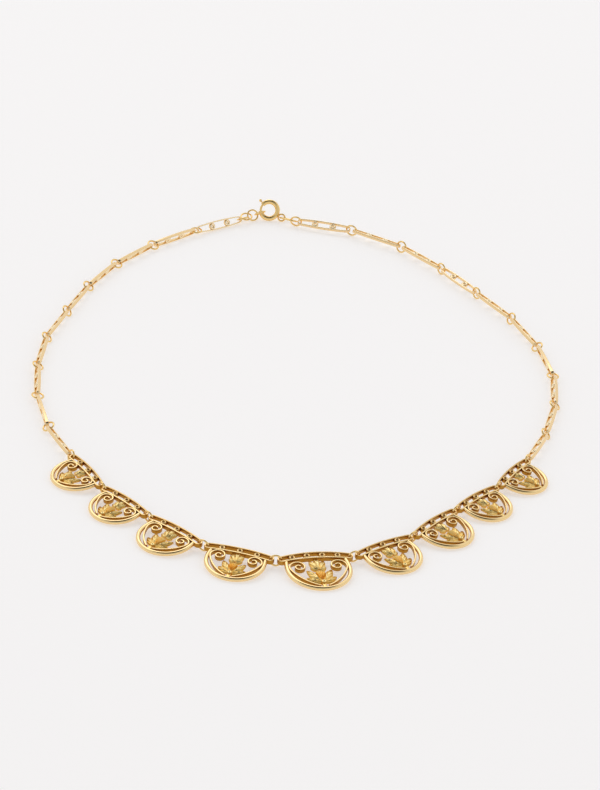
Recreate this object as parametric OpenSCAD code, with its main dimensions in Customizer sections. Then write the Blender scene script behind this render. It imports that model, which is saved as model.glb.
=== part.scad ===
/* [Jump rings] */
// Outer diameter of a jump ring
ring_od = 2.9; // [2.85:0.05:2.95]
// Diameter of a jump ring's wire
ring_wire = 0.4; // [0.36:0.01:0.42]
// Gap between the two end bends that meet inside a jump ring
tip_gap = 0.65; // [0.6:0.05:0.7]

/* [Ladder links] */
// Length of a link over its end bends
link_l = 12.85; // [12.5:0.05:13]
// Bow of each long side, as the angle it makes at its end
link_bow = 5; // [4:0.5:6]
// Radius of an end bend, to the middle of the strip
link_end_r = 0.66; // [0.64:0.01:0.7]
// Thickness of the strip
link_t = 0.28; // [0.24:0.01:0.3]
// Depth of the strip
link_d = 0.75; // [0.7:0.05:0.8]

/* [Panels] */
// Thickness of the strip that the gallery and the scrolls are bent from
strip_t = 0.35; // [0.3:0.01:0.36]
// Depth of the gallery's strip
strip_d = 1.05; // [0.95:0.05:1.05]
// Depth of the scrolls' strip
scroll_d = 0.95; // [0.85:0.05:0.95]
// Radius of the gallery's end bends, to the middle of the strip
gallery_end_r = 0.72; // [0.7:0.01:0.74]
// Diameter of the round wire of the rim
rim_wire = 0.95; // [0.9:0.05:1]
// How far the rim stands in from the gallery's end
rim_inset = 1; // [0.95:0.05:1.05]

/* [Clasp] */
// Outer diameter of the bolt ring
bolt_od = 5.15; // [5.05:0.05:5.25]
// Outer diameter of the bolt ring's tube
tube_od = 1.15; // [1.1:0.05:1.2]
// Wall of the tube
tube_wall = 0.15; // [0.13:0.01:0.16]
// Opening that the trigger closes, as an angle of the ring
gate = 46; // [40:1:48]
// Thickness of the trigger's tongue
tongue_d = 0.54; // [0.5:0.01:0.58]

/* [Hidden] */
$fn = 48;
gold = [0.86, 0.68, 0.32];
leaf_gold = [0.88, 0.72, 0.3];

// Width over the gallery's ends and depth below the line of the jump rings, the number of
// collets in the gallery, the bow of its upper and of its lower side as the angle at the
// end, and how far below the rim's middle the scrolls touch it, from the middle outwards
PANEL_SIZES = [ // [width, depth, collets, upper bow, lower bow, scroll side]
    [15.95, 10.25, 4, 16, 12, 3],
    [14.85, 9.25, 3, 10, 8, 0],
    [14.55, 9, 3, 10, 8, 1],
    [13.75, 8.25, 3, 10, 8, 3],
    [13.65, 7.85, 3, 10, 8, 6.5]
];

// How the necklace lies: the turn at each joint and the roll of each link, from the
// middle panel to the clasp. A link that has rolled by 90 lies on its inner edge.
LEFT_PANEL_TURNS = [-28, -26, -5, -14];
RIGHT_PANEL_TURNS = [24, 15, -3, 11];
LEFT_LAY = [ // [turn, roll]
    [-6, 35], [-11, 82], [-10, 115], [-8, 125], [-12, 135],
    [-1, 140], [-8, 112], [-11, 118], [-10, 112], [-7, 67]
];
RIGHT_LAY = [ // [turn, roll]
    [10, 35], [8, 50], [10, 65], [14, 103], [11, 150],
    [11, 160], [1, 190], [7, 165], [18, 165], [19, 205]
];
// Lean of the plain ring at each end of the chain
left_end_lean = 61;
right_end_lean = 12;
// Direction in which the middle panel points, and where its middle lies
middle_turn = 16;
lay_middle = [7.23, -73.48];

// Leaves of a spray, from the line to the gallery, as shares of the rim's radius, and
// how much lower each lies than the middle one
LEAVES = [ // [direction, length, width, lower]
    [32, 0.76, 0.3, 0.06], [-32, 0.76, 0.3, 0.08],
    [60, 0.56, 0.26, 0.13], [-60, 0.56, 0.26, 0.15]
];
// Petals of the bud above them, as shares of the bud's length
PETALS = [ // [direction, length, width, lower]
    [0, 1, 0.5, -0.07],
    [27, 0.9, 0.42, 0.02], [-27, 0.9, 0.42, 0.04],
    [62, 0.5, 0.32, 0.1], [-62, 0.5, 0.32, 0.12]
];
// Bends of a volute after the long bend along the rim, each radius as a share of that
// of the circle on which a scroll touches the rim
VOLUTE_BENDS = [ // [radius, angle]
    [0.3, 115], [0.235, 90], [0.185, 90], [0.14, 90], [0.105, 90], [0.085, 60]
];
long_bend_r = 1.7;
scroll_foot = 8;
spray_foot = 0.71;
bud_foot = 0.075;
calyx_l = 0.56;
calyx_half = 17;
calyx_from = 0.3;
calyx_rise = 0.15;
bead_d = 0.16;
bead_low = -0.38;
bead_top = 0.6;
bead_dip = 0.15;
stem_w = 0.8;
stem_d = 0.5;
leaf_start = 0.12;
leaf_trim = 0.03;
leaf_d = 0.6;
leaf_top = 0.42;
leaf_bulge = 0.8;
rib_w = 0.16;
solder = 0.06;
seam = 0.03;
lay_gap = 0.02;
run_in = 0.08;

ring_r = (ring_od - ring_wire) / 2;
ring_z = ring_od / 2;
link_collets = [-1 / 6, 1 / 6];
collet_bore = 0.5;
link_collet_bore = 0.45;
link_pitch = link_l + tip_gap;
link_half_w = link_end_r + link_t / 2
    + (link_l / 2 - link_t / 2 - link_end_r) * tan(link_bow / 2);

bolt_r = (bolt_od - tube_od) / 2;
bore_d = tube_od - 2 * tube_wall;

// The bolt ring leans back on its tube, and its eye reaches towards the right half
bolt_lean = 29;
bolt_z = bolt_r * cos(bolt_lean) + tube_od / 2;
bolt_along = 6.2;
bolt_back = 3.1;
eye_r = 0.8;
eye_wire = 0.42;
eye_sunk = 0.15;
eye_out = bolt_od / 2 + eye_r + eye_wire / 2 - eye_sunk;
eye_at = -27;
gate_from = 144;
gate_to = gate_from + gate;
gate_shut = 9;
bore_from = 8;
knob_at = 136;
knob_d = 0.72;
knob_out = bolt_od / 2 + 0.5;
knob_stem = 0.3;
slot_w = 0.46;
slot_spare = 4;
tongue_back = 60;
trigger_swing = gate + gate_shut + 1;

// The loose rings between the left half, the bolt ring and the right half
clasp_span = 12.7;
hook_out = 2.3;
hook_at = 202;
hook_lean = 128;
upright_lean = 38;
lying_lean = 80;
oval_half = 0.9;
oval_share = 0.47;
oval_drop = 0.04;
oval_lean = 114;

panel_rows = len(PANEL_SIZES);
link_rows = len(LEFT_LAY);
side_panels = panel_rows - 1;

function panel_w(i) = PANEL_SIZES[i][0];
function panel_depth(i) = PANEL_SIZES[i][1];
function upper_bow(i) = PANEL_SIZES[i][3];
function lower_bow(i) = PANEL_SIZES[i][4];
function panel_pitch(i) = panel_w(i) + tip_gap;
function rim_r(i) = panel_w(i) / 2 - rim_inset - rim_wire / 2;
function rim_y(i) = rim_r(i) + rim_wire / 2 - panel_depth(i);
function panel_tilt(i) = asin((ring_z - rim_wire / 2) / (panel_depth(i) - rim_wire / 2));

function dir(a) = [cos(a), sin(a)];
function heading(v) = atan2(v[1], v[0]);
function slope(v) = atan2(v[2], norm([v[0], v[1]]));
function total(v, n) = n <= 0 ? 0 : v[n - 1] + total(v, n - 1);
function swung(p, about, a) = about + [
    (p - about)[0] * cos(a) - (p - about)[1] * sin(a),
    (p - about)[0] * sin(a) + (p - about)[1] * cos(a)
];

// One half of the necklace as steps from the middle panel
function half_steps(turns, lay) = concat( // [pitch, turn]
    [for (i = [1 : side_panels]) [panel_pitch(i), turns[i - 1]]],
    [for (row = lay) [link_pitch, row[0]]]
);
function headings(steps, first) =
    let (turns = [for (s = steps) s[1]])
    [for (k = [1 : len(steps)]) first + total(turns, k)];
function places(steps, heads, at, k = 0) = k >= len(steps) ? [at] :
    concat([at], places(steps, heads, at + steps[k][0] * dir(heads[k]), k + 1));

right_steps = half_steps(RIGHT_PANEL_TURNS, RIGHT_LAY);
left_steps = half_steps(LEFT_PANEL_TURNS, LEFT_LAY);
last = len(right_steps);
right_start = lay_middle + panel_pitch(0) / 2 * dir(middle_turn);
left_start = lay_middle - panel_pitch(0) / 2 * dir(middle_turn);
right_plan = places(right_steps, headings(right_steps, middle_turn), right_start);
left_loose = places(left_steps, headings(left_steps, middle_turn + 180), left_start);

// The left half swings about the middle panel until the ends are a clasp apart
left_reach = left_loose[last] - left_start;
across = right_plan[last] - left_start;
corner = acos((norm(left_reach) ^ 2 + norm(across) ^ 2 - clasp_span ^ 2)
    / (2 * norm(left_reach) * norm(across)));
left_swing = heading(across) + corner - heading(left_reach);
left_plan = [for (p = left_loose) swung(p, left_start, left_swing)];

// Rolls of the pieces of a half, outer side up, then the lean of its end ring, and the
// height of each joint, which is what its jump ring and the links beside it need to stand
// on the table
function rolls(lay, end_lean) = concat(
    [for (i = [0 : side_panels]) -panel_tilt(i)],
    [for (row = lay) row[1]],
    [end_lean]
);
function lean(r, k) = k >= last ? r[last + 1] : (r[k] + r[k + 1]) / 2;
function ring_need(a) = ring_r * abs(cos(a)) + ring_wire / 2;
function link_need(a) = link_half_w * abs(sin(a)) + link_d / 2 * abs(cos(a));
function joint_z(r, k) = k <= side_panels ? ring_z :
    lay_gap + max(ring_need(lean(r, k)), link_need(r[k]), link_need(r[min(k + 1, last)]));
function raised(p, r) = [for (k = [0 : last]) [p[k][0], p[k][1], joint_z(r, k)]];

right_rolls = rolls(RIGHT_LAY, right_end_lean);
left_rolls = rolls(LEFT_LAY, left_end_lean);
right_joints = raised(right_plan, right_rolls);
left_joints = raised(left_plan, left_rolls);

// The middle of the end bend of a piece that runs from joint a to joint b, near a
function end_bend(a, b, end_r, t) = a + (b - a) / norm(b - a) * (tip_gap / 2 + end_r + t / 2);
function half_bend(joints, k, after) = let (
    other = joints[after ? k + 1 : k - 1],
    piece = after ? k + 1 : k
) piece > side_panels ? end_bend(joints[k], other, link_end_r, link_t)
    : end_bend(joints[k], other, gallery_end_r, strip_t);

left_end = left_joints[last];
right_end = right_joints[last];
clasp_dir = heading(right_end - left_end);
function in_clasp(along, back, z) = [
    left_end[0] + along * cos(clasp_dir) - back * sin(clasp_dir),
    left_end[1] + along * sin(clasp_dir) + back * cos(clasp_dir),
    z
];
// A place in the plane of the bolt ring
function in_bolt(r, a) = in_clasp(
    bolt_along + r * cos(a),
    bolt_back + r * sin(a) * sin(bolt_lean),
    bolt_z + r * sin(a) * cos(bolt_lean)
);
bolt_centre = in_bolt(0, 0);
eye_centre = in_bolt(eye_out, eye_at);
hooked = in_bolt(hook_out, hook_at);
upright = in_clasp(2.35, 1.86, 1.29);
lying = in_clasp(0.88, 1.17, 1.13);
oval_centre = eye_centre + (right_end - eye_centre) * oval_share - [0, 0, oval_drop];

// A strip on edge, bent round a circle about the origin
module arc_strip(r, from, turn, t, d) {
    rotate([0, 0, from])
        rotate_extrude(angle = turn)
            translate([r - t / 2, -d / 2])
                square([t, d]);
}

// A round wire bent round a circle about the origin
module arc_wire(r, from, turn, d) {
    rotate([0, 0, from])
        rotate_extrude(angle = turn)
            translate([r, 0])
                circle(d = d);
}

// The same strip, run on by a little at both ends into a slightly stouter neighbour
module joined_strip(r, from, turn, t, d) {
    more = run_in / r * 180 / PI;
    arc_strip(r, from - more, turn + 2 * more, t, d);
}

// A closed loop of strip with round ends. Its upper side bows up, and its lower side bows
// up or, where the angle is negative, down
module strip_loop(l, end_r, top_bow, low_bow, t, d) {
    c = l / 2 - t / 2 - end_r;
    top_r = c / sin(top_bow) + end_r;
    low_r = abs(c / sin(low_bow) - end_r);
    turn = 180 - top_bow + low_bow;
    translate([0, -c / tan(top_bow)])
        joined_strip(top_r, 90 - top_bow, 2 * top_bow, t, d);
    translate([0, -c / tan(low_bow)])
        joined_strip(low_r, (low_bow > 0 ? 90 : -90) - abs(low_bow), 2 * abs(low_bow), t, d);
    translate([-c, 0])
        arc_strip(end_r, 90 + top_bow, turn, t + seam, d + seam);
    translate([c, 0])
        arc_strip(end_r, -90 - low_bow, turn, t + seam, d + seam);
}

// A short tube that joins the two sides of a loop
module collet(x, y, od, bore, d) {
    translate([x, y, -d / 2])
        difference() {
            cylinder(d = od, h = d);
            translate([0, 0, -1])
                cylinder(d = bore, h = d + 2);
        }
}

module ladder_link() {
    color(gold) {
        strip_loop(link_l, link_end_r, link_bow, -link_bow, link_t, link_d);
        c = link_l / 2 - link_t / 2 - link_end_r;
        r = c / sin(link_bow) + link_end_r;
        for (share = link_collets) {
            x = share * link_l;
            side_y = sqrt(r ^ 2 - x ^ 2) - c / tan(link_bow);
            collet(x, 0, 2 * side_y - link_t + 2 * solder, link_collet_bore, link_d);
        }
    }
}

module gallery(i) {
    w = panel_w(i);
    c = w / 2 - strip_t / 2 - gallery_end_r;
    top_r = c / sin(upper_bow(i)) + gallery_end_r;
    low_r = c / sin(lower_bow(i)) - gallery_end_r;
    strip_loop(w, gallery_end_r, upper_bow(i), lower_bow(i), strip_t, strip_d);
    n = PANEL_SIZES[i][2];
    for (k = [0 : n - 1]) {
        x = (k - (n - 1) / 2) * w / (n + 1);
        top_y = sqrt(top_r ^ 2 - x ^ 2) - c / tan(upper_bow(i));
        low_y = sqrt(low_r ^ 2 - x ^ 2) - c / tan(lower_bow(i));
        collet(x, (top_y + low_y) / 2, top_y - low_y - strip_t + 2 * solder, collet_bore, strip_d);
    }
}

// The round wire of the rim: half a circle, and a side that leans in to the gallery
module rim(i) {
    r = rim_r(i);
    side_r = 2 * r;
    c = panel_w(i) / 2 - strip_t / 2 - gallery_end_r;
    low_r = c / sin(lower_bow(i)) - gallery_end_r;
    top_y = sqrt(low_r ^ 2 - (r - strip_t) ^ 2) - c / tan(lower_bow(i));
    side = asin((top_y - rim_y(i)) / side_r);
    more = run_in / side_r * 180 / PI;
    translate([0, rim_y(i)])
        arc_wire(r, 180, 180, rim_wire);
    for (flip = [0, 1])
        mirror([flip, 0, 0])
            translate([r - side_r, rim_y(i)])
                arc_wire(side_r, -more, side + more, rim_wire - seam);
}

// Bends laid end to end, all to the left, from a place and a heading
function bends(rows, at, head, k = 0) = k >= len(rows) ? [] : let ( // [centre, radius, from, angle]
    r = rows[k][0],
    turn = rows[k][1],
    centre = at + r * dir(head + 90)
) concat([[centre, r, head - 90, turn]],
    bends(rows, centre + r * dir(head - 90 + turn), head + turn, k + 1));

// A strip that leaves the foot of the rim, touches the rim at its side and curls in
module scroll(i) {
    touch_r = rim_r(i) - rim_wire / 2 - strip_t / 2 + solder;
    half_span = (90 - scroll_foot - PANEL_SIZES[i][5]) / 2;
    long_half = asin(sin(half_span) / long_bend_r);
    rows = [for (b = concat([[long_bend_r, 2 * long_half]], VOLUTE_BENDS)) [b[0] * touch_r, b[1]]];
    foot = [0, rim_y(i)] + touch_r * dir(scroll_foot - 90);
    head = scroll_foot + half_span - long_half;
    laid = bends(rows, foot, head);
    for (k = [0 : len(laid) - 1])
        translate(laid[k][0])
            if (k % 2 == 0)
                joined_strip(laid[k][1], laid[k][2], laid[k][3], strip_t, scroll_d);
            else
                arc_strip(laid[k][1], laid[k][2], laid[k][3], strip_t + seam, scroll_d + seam);
}

// A groove along X
module groove(l) {
    rotate([45, 0, 0])
        cube([l, rib_w, rib_w], center = true);
}

// A leaf along X from near the origin, with blunt ends, domed across and with a groove
// for its rib
module leaf(length, w) {
    l = length * (1 - leaf_start);
    r = (l ^ 2 + w ^ 2) / (4 * w);
    dome_r = leaf_bulge * w;
    translate([length * leaf_start, 0, leaf_top])
        difference() {
            intersection() {
                translate([l / 2, r - w / 2, -leaf_d])
                    cylinder(r = r, h = 2 * leaf_d);
                translate([l / 2, w / 2 - r, -leaf_d])
                    cylinder(r = r, h = 2 * leaf_d);
                translate([l * leaf_trim, 0, -dome_r])
                    rotate([0, 90, 0])
                        cylinder(r = dome_r, h = l * (1 - 2 * leaf_trim));
            }
            translate([l / 2, 0, 0])
                groove(2 * l);
        }
}

// The ribbed fan between the leaves, which rises a little outwards
module calyx(l) {
    difference() {
        rotate([0, 0, 90 - calyx_half])
            rotate_extrude(angle = 2 * calyx_half)
                polygon([
                    [calyx_from, leaf_top - leaf_d + calyx_rise / 2],
                    [l, leaf_top - leaf_d + calyx_rise / 2],
                    [l, leaf_top + calyx_rise / 3],
                    [calyx_from, leaf_top - calyx_rise]
                ]);
        for (share = [-0.5, 0, 0.5])
            rotate([0, 0, 90 + share * calyx_half])
                translate([l / 2 + 1, 0, leaf_top])
                    groove(l);
    }
}

// The bead where the stems meet, round on its shoulder and dished on top
module bead(d) {
    rotate_extrude()
        polygon([
            [0, bead_low],
            [d / 2, bead_low],
            [d / 2, bead_top - 1.5 * bead_dip],
            [d / 2 - bead_dip, bead_top],
            [d / 2 - 2 * bead_dip, bead_top],
            [d / 2 - 2.5 * bead_dip, bead_top - bead_dip],
            [0, bead_top - bead_dip]
        ]);
}

// A fan of leaves, each row with a direction, a length, a width and how low it lies
module fan(rows, size) {
    for (row = rows)
        translate([0, 0, -row[3]])
            rotate([0, 0, 90 + row[0]])
                leaf(row[1] * size, row[2] * size);
}

module spray(i) {
    r = rim_r(i);
    foot_y = rim_y(i) - spray_foot * r;
    bud_y = rim_y(i) - bud_foot * r;
    color(leaf_gold) {
        translate([0, foot_y])
            fan(LEAVES, r);
        translate([0, foot_y])
            calyx(calyx_l * r);
        translate([0, bud_y])
            fan(PETALS, -bud_y);
        translate([0, foot_y])
            bead(bead_d * r);
        translate([-stem_w / 2, rim_y(i) - r, -stem_d / 2])
            cube([stem_w, (1 - spray_foot) * r, stem_d]);
    }
}

module panel(i) {
    color(gold) {
        gallery(i);
        rim(i);
        for (flip = [0, 1])
            mirror([flip, 0, 0])
                scroll(i);
    }
    spray(i);
}

// A piece that runs from joint a to joint b, with the neck on its left
module between(a, b, roll) {
    v = b - a;
    translate((a + b) / 2)
        rotate([roll, -slope(v), heading(v)])
            children();
}

// A ring drawn out to an oval along X, by the length on each side
module oval_ring(half) {
    for (flip = [0, 180])
        rotate([0, 0, flip]) {
            translate([half, 0])
                arc_wire(ring_r, -90, 180, ring_wire);
            translate([0, ring_r])
                rotate([0, 90, 0])
                    cylinder(d = ring_wire - seam, h = 2 * (half + run_in), center = true);
        }
}

// A jump ring whose plane holds the direction v and leans from the upright
module jump_ring(at, v, ring_lean, oval = 0) {
    color(gold)
        translate(at)
            rotate([90 - ring_lean, -slope(v), heading(v)])
                if (oval == 0)
                    arc_wire(ring_r, 0, 360, ring_wire);
                else
                    oval_ring(oval);
}

// The ring of a joint lies through the two end bends beside it
module joint_ring(from, to, ring_lean) {
    jump_ring((from + to) / 2, to - from, ring_lean);
}

module middle_panel() {
    between(left_joints[0], right_joints[0], panel_tilt(0)) panel(0);
}
module left_panel(i) {
    between(left_joints[i], left_joints[i - 1], panel_tilt(i)) panel(i);
}
module right_panel(i) {
    between(right_joints[i - 1], right_joints[i], panel_tilt(i)) panel(i);
}
module left_link(i) {
    k = side_panels + i;
    between(left_joints[k], left_joints[k - 1], -left_rolls[k]) ladder_link();
}
module right_link(i) {
    k = side_panels + i;
    between(right_joints[k - 1], right_joints[k], -right_rolls[k]) ladder_link();
}

module left_joint_ring(k) {
    joint_ring(
        half_bend(left_joints, k, true),
        k == 0 ? end_bend(left_joints[0], right_joints[0], gallery_end_r, strip_t)
            : half_bend(left_joints, k, false),
        lean(left_rolls, k)
    );
}
module right_joint_ring(k) {
    joint_ring(
        k == 0 ? end_bend(right_joints[0], left_joints[0], gallery_end_r, strip_t)
            : half_bend(right_joints, k, false),
        half_bend(right_joints, k, true),
        lean(right_rolls, k)
    );
}

module front_rings() {
    for (k = [0 : side_panels - 1]) {
        left_joint_ring(k);
        right_joint_ring(k);
    }
}
module left_rings() {
    for (k = [side_panels : last - 1])
        left_joint_ring(k);
    jump_ring(left_end, left_joints[last - 1] - left_end, left_end_lean);
}
module right_rings() {
    for (k = [side_panels : last - 1])
        right_joint_ring(k);
    jump_ring(right_end, right_end - right_joints[last - 1], right_end_lean);
}

module clasp_rings() {
    jump_ring(hooked, hooked - upright, hook_lean);
    jump_ring(upright, hooked - upright, upright_lean);
    jump_ring(lying, upright - lying, lying_lean);
    jump_ring(oval_centre, right_end - eye_centre, oval_lean, oval_half);
}

module in_bolt_plane() {
    translate(bolt_centre)
        rotate([90 - bolt_lean, 0, clasp_dir])
            children();
}

module bolt_ring() {
    color(gold)
        in_bolt_plane()
            difference() {
                union() {
                    arc_wire(bolt_r, gate_to, 360 - gate, tube_od);
                    translate([eye_out * cos(eye_at), eye_out * sin(eye_at)])
                        arc_wire(eye_r, 0, 360, eye_wire);
                }
                arc_wire(bolt_r, bore_from, gate_to + 2 * gate_shut - bore_from, bore_d);
                arc_slot(knob_at - trigger_swing - slot_spare, trigger_swing + 4 * slot_spare);
            }
}

// A slot through the outer wall of the tube, in the plane of the ring
module arc_slot(from, turn) {
    rotate([0, 0, from])
        rotate_extrude(angle = turn)
            translate([bolt_r, -slot_w / 2])
                square([tube_od, slot_w]);
}

module trigger() {
    tongue_to = gate_to + gate_shut;
    tongue_from = gate_from - tongue_back;
    color(gold)
        in_bolt_plane() {
            arc_wire(bolt_r, tongue_from, tongue_to - tongue_from, tongue_d);
            rotate([0, 0, knob_at]) {
                translate([bolt_r, 0])
                    rotate([0, 90, 0])
                        cylinder(d = knob_stem, h = knob_out - bolt_r);
                translate([knob_out, 0])
                    sphere(d = knob_d);
            }
        }
}

middle_panel();  // panel_middle
for (i = [1 : side_panels]) {
    left_panel(i);
    right_panel(i);
}
for (i = [1 : link_rows]) {
    left_link(i);
    right_link(i);
}
front_rings();
left_rings();
right_rings();
clasp_rings();
bolt_ring();
trigger();
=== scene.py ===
# %% Load the necklace that the workshop drawing gives
import math
from collections import namedtuple

import bmesh
import bpy
from mathutils import Matrix, Vector


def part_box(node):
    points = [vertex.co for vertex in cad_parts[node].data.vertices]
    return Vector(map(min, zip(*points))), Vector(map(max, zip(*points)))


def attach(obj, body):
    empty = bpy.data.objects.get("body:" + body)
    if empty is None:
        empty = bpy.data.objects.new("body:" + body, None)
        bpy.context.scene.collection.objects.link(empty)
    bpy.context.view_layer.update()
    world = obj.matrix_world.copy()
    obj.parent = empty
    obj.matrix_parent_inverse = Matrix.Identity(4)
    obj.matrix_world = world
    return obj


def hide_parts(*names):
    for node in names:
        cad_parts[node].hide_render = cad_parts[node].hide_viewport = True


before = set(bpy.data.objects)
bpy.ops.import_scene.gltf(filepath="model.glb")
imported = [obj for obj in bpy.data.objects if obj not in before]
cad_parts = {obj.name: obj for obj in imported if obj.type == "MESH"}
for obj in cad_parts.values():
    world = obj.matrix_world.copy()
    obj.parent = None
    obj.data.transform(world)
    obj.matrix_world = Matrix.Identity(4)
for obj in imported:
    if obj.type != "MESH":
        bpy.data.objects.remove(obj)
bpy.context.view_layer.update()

print("pieces in the drawing:", len(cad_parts))

# %% [markdown]
# # A draped necklace in yellow gold
#
# A draped necklace hangs a row of openwork panels from a fine chain. This one lies on a
# table. Nine half-round panels, each bent and soldered from strip and wire with a spray of
# chased leaves inside, follow one another at the front, and ten long ladder links on each
# side lead back to a bolt ring.
#
# Every piece of it is bent from something drawn through a plate: round wire or flat strip.
# So nearly every shape below starts as the section of a wire and is turned about the centre
# of each bend with the spin operator, just as the goldsmith bends it round a mandrel.
# Sizes are in millimetres until a piece is put in its place.

# %% Sizes of the wire, the strip and the rings
MM = 0.001
RING_OD, RING_WIRE, TIP_GAP = 2.9, 0.4, 0.65
LINK_LENGTH, LINK_BOW, LINK_END_R = 12.85, 5, 0.66
LINK_STRIP, LINK_DEPTH = 0.28, 0.75
STRIP, GALLERY_DEPTH, SCROLL_DEPTH = 0.35, 1.05, 0.95
GALLERY_END_R, RIM_WIRE, RIM_INSET = 0.72, 0.95, 1.0
RING_R = (RING_OD - RING_WIRE) / 2
RING_Z = RING_OD / 2
LINK_PITCH = LINK_LENGTH + TIP_GAP
LINK_HALF_W = LINK_END_R + LINK_STRIP / 2 + (
    LINK_LENGTH / 2 - LINK_STRIP / 2 - LINK_END_R) * math.tan(math.radians(LINK_BOW / 2))
print("a link and its gap take", round(LINK_PITCH, 2), "mm of the chain")

# %% [markdown]
# ## How the necklace lies
#
# A chain that is put down on a table keeps the length of its links and turns only at the
# joints. So its lay is a short table: how far the line turns at each joint, and how far each
# link has rolled over. The middle panel comes first, and the two halves run back from it.
# One more fact closes the loop: the two ends are a clasp apart, so the left half swings
# about the middle panel until they are.

# %% The lay, from the middle panel to the clasp
Panel = namedtuple("Panel", "width depth collets upper_bow lower_bow scroll_side")
PANELS = [  # the middle one first, with its bows and the scroll's side in degrees
    Panel(15.95, 10.25, 4, 16, 12, 3), Panel(14.85, 9.25, 3, 10, 8, 0),
    Panel(14.55, 9.0, 3, 10, 8, 1), Panel(13.75, 8.25, 3, 10, 8, 3),
    Panel(13.65, 7.85, 3, 10, 8, 6.5)]
PANEL_TURNS = {"left": [-28, -26, -5, -14], "right": [24, 15, -3, 11]}
LINK_LAY = {  # turn, roll
    "left": [(-6, 35), (-11, 82), (-10, 115), (-8, 125), (-12, 135),
             (-1, 140), (-8, 112), (-11, 118), (-10, 112), (-7, 67)],
    "right": [(10, 35), (8, 50), (10, 65), (14, 103), (11, 150),
              (11, 160), (1, 190), (7, 165), (18, 165), (19, 205)]}
END_LEAN = {"left": 61, "right": 12}  # of the plain ring at each end
MIDDLE_TURN = 16
MIDDLE = Vector((7.23, -73.48))  # the middle panel's joints lie round this point
CLASP_SPAN = 12.7  # between the two ends of the chain
LAY_GAP = 0.02  # air under what lies on the table
SIDE_PANELS = len(PANELS) - 1
JOINTS = SIDE_PANELS + len(LINK_LAY["left"])


def toward(angle):
    """The unit vector at an angle in degrees."""
    return Vector((math.cos(math.radians(angle)), math.sin(math.radians(angle))))


def angle_of(v):
    """The angle in degrees at which a vector points."""
    return math.degrees(math.atan2(v[1], v[0]))


def panel_pitch(i):
    """The length of the line that a panel takes from joint to joint."""
    return PANELS[i].width + TIP_GAP


def panel_tilt(i):
    """A panel's ends hang in rings at ring height, and its rim rests on the table."""
    return math.degrees(math.asin((RING_Z - RIM_WIRE / 2) / (PANELS[i].depth - RIM_WIRE / 2)))


def half_line(side, start, heading):
    """The joints of one half as points on the table."""
    steps = [(panel_pitch(i + 1), turn) for i, turn in enumerate(PANEL_TURNS[side])]
    steps += [(LINK_PITCH, turn) for turn, roll in LINK_LAY[side]]
    points = [start]
    for pitch, turn in steps:
        heading += turn
        points.append(points[-1] + pitch * toward(heading))
    return points


half_middle = panel_pitch(0) / 2 * toward(MIDDLE_TURN)
right_line = half_line("right", MIDDLE + half_middle, MIDDLE_TURN)
left_line = half_line("left", MIDDLE - half_middle, MIDDLE_TURN + 180)
reach = left_line[-1] - left_line[0]
across = right_line[-1] - left_line[0]
corner = math.degrees(math.acos((reach.length ** 2 + across.length ** 2 - CLASP_SPAN ** 2)
                                / (2 * reach.length * across.length)))
swing = Matrix.Rotation(math.radians(angle_of(across) + corner - angle_of(reach)), 2)
left_line = [left_line[0] + swing @ (p - left_line[0]) for p in left_line]
print("the loop is", round(sum((b - a).length for line in (left_line, right_line)
                               for a, b in zip(line, line[1:])) + panel_pitch(0)), "mm round")

# %% The height of each joint above the table


def rolls_of(side):
    """How far each piece of one half has rolled over, from the middle panel on."""
    return ([-panel_tilt(i) for i in range(SIDE_PANELS + 1)]
            + [roll for turn, roll in LINK_LAY[side]] + [END_LEAN[side]])


def lean_at(rolls, k):
    """A jump ring leans half way between the pieces on its two sides."""
    return rolls[k + 1] if k >= JOINTS else (rolls[k] + rolls[k + 1]) / 2


def height_at(rolls, k):
    """A joint stands as high as its ring and the two pieces beside it need."""
    if k <= SIDE_PANELS:
        return RING_Z

    def link_needs(roll):
        a = math.radians(roll)
        return LINK_HALF_W * abs(math.sin(a)) + LINK_DEPTH / 2 * abs(math.cos(a))

    ring_needs = RING_R * abs(math.cos(math.radians(lean_at(rolls, k)))) + RING_WIRE / 2
    return LAY_GAP + max(ring_needs, link_needs(rolls[k]), link_needs(rolls[min(k + 1, JOINTS)]))


ROLLS = {side: rolls_of(side) for side in ("left", "right")}
LINES = {"left": left_line, "right": right_line}
JOINT = {side: [Vector((p[0], p[1], height_at(ROLLS[side], k)))
                for k, p in enumerate(LINES[side])] for side in ("left", "right")}
print("the chain ends", [round(c, 1) for c in JOINT["left"][-1]],
      [round(c, 1) for c in JOINT["right"][-1]])


def turned_to(v, roll=0.0):
    """Turns a piece made along X so that it runs along v, rolled about itself."""
    slope = math.atan2(v[2], math.hypot(v[0], v[1]))
    return (Matrix.Rotation(math.atan2(v[1], v[0]), 4, "Z") @ Matrix.Rotation(-slope, 4, "Y")
            @ Matrix.Rotation(math.radians(roll), 4, "X"))


def between(a, b, roll):
    """The place of a piece that runs from joint a to joint b, with the neck on its left."""
    return Matrix.Translation((a + b) / 2) @ turned_to(b - a, roll)


# %% [markdown]
# ## Bending strip and wire
#
# A bent strip could be drawn as a curve with a bevel, but then the mesh only appears when
# the curve is evaluated, and nothing can be soldered to it. Spinning the section keeps one
# real mesh in hand: each bend is one spin about its own centre, the next bend picks up the
# edges that the last one left, and a closed loop is welded where it meets its start.
# The strip's section has softened corners, because filed and polished gold never has a
# sharp edge, and that narrow round is what catches the light.

# %% Sections, bends and caps
FACET = 9.0  # degrees of a bend for each new ring of faces
LONG_FACET = 0.45  # the longest that a face may be
CORNER_SEGMENTS = 2
WIRE_SIDES, RING_STEPS = 14, 40
WELD = 1e-4


def across_path(at, heading):
    """A frame whose XY plane is square to a path in the plane of the piece."""
    n = toward(heading + 90)
    h = toward(heading)
    return Matrix(((n[0], 0, h[0], at[0]), (n[1], 0, h[1], at[1]), (0, 1, 0, 0), (0, 0, 0, 1)))


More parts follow.
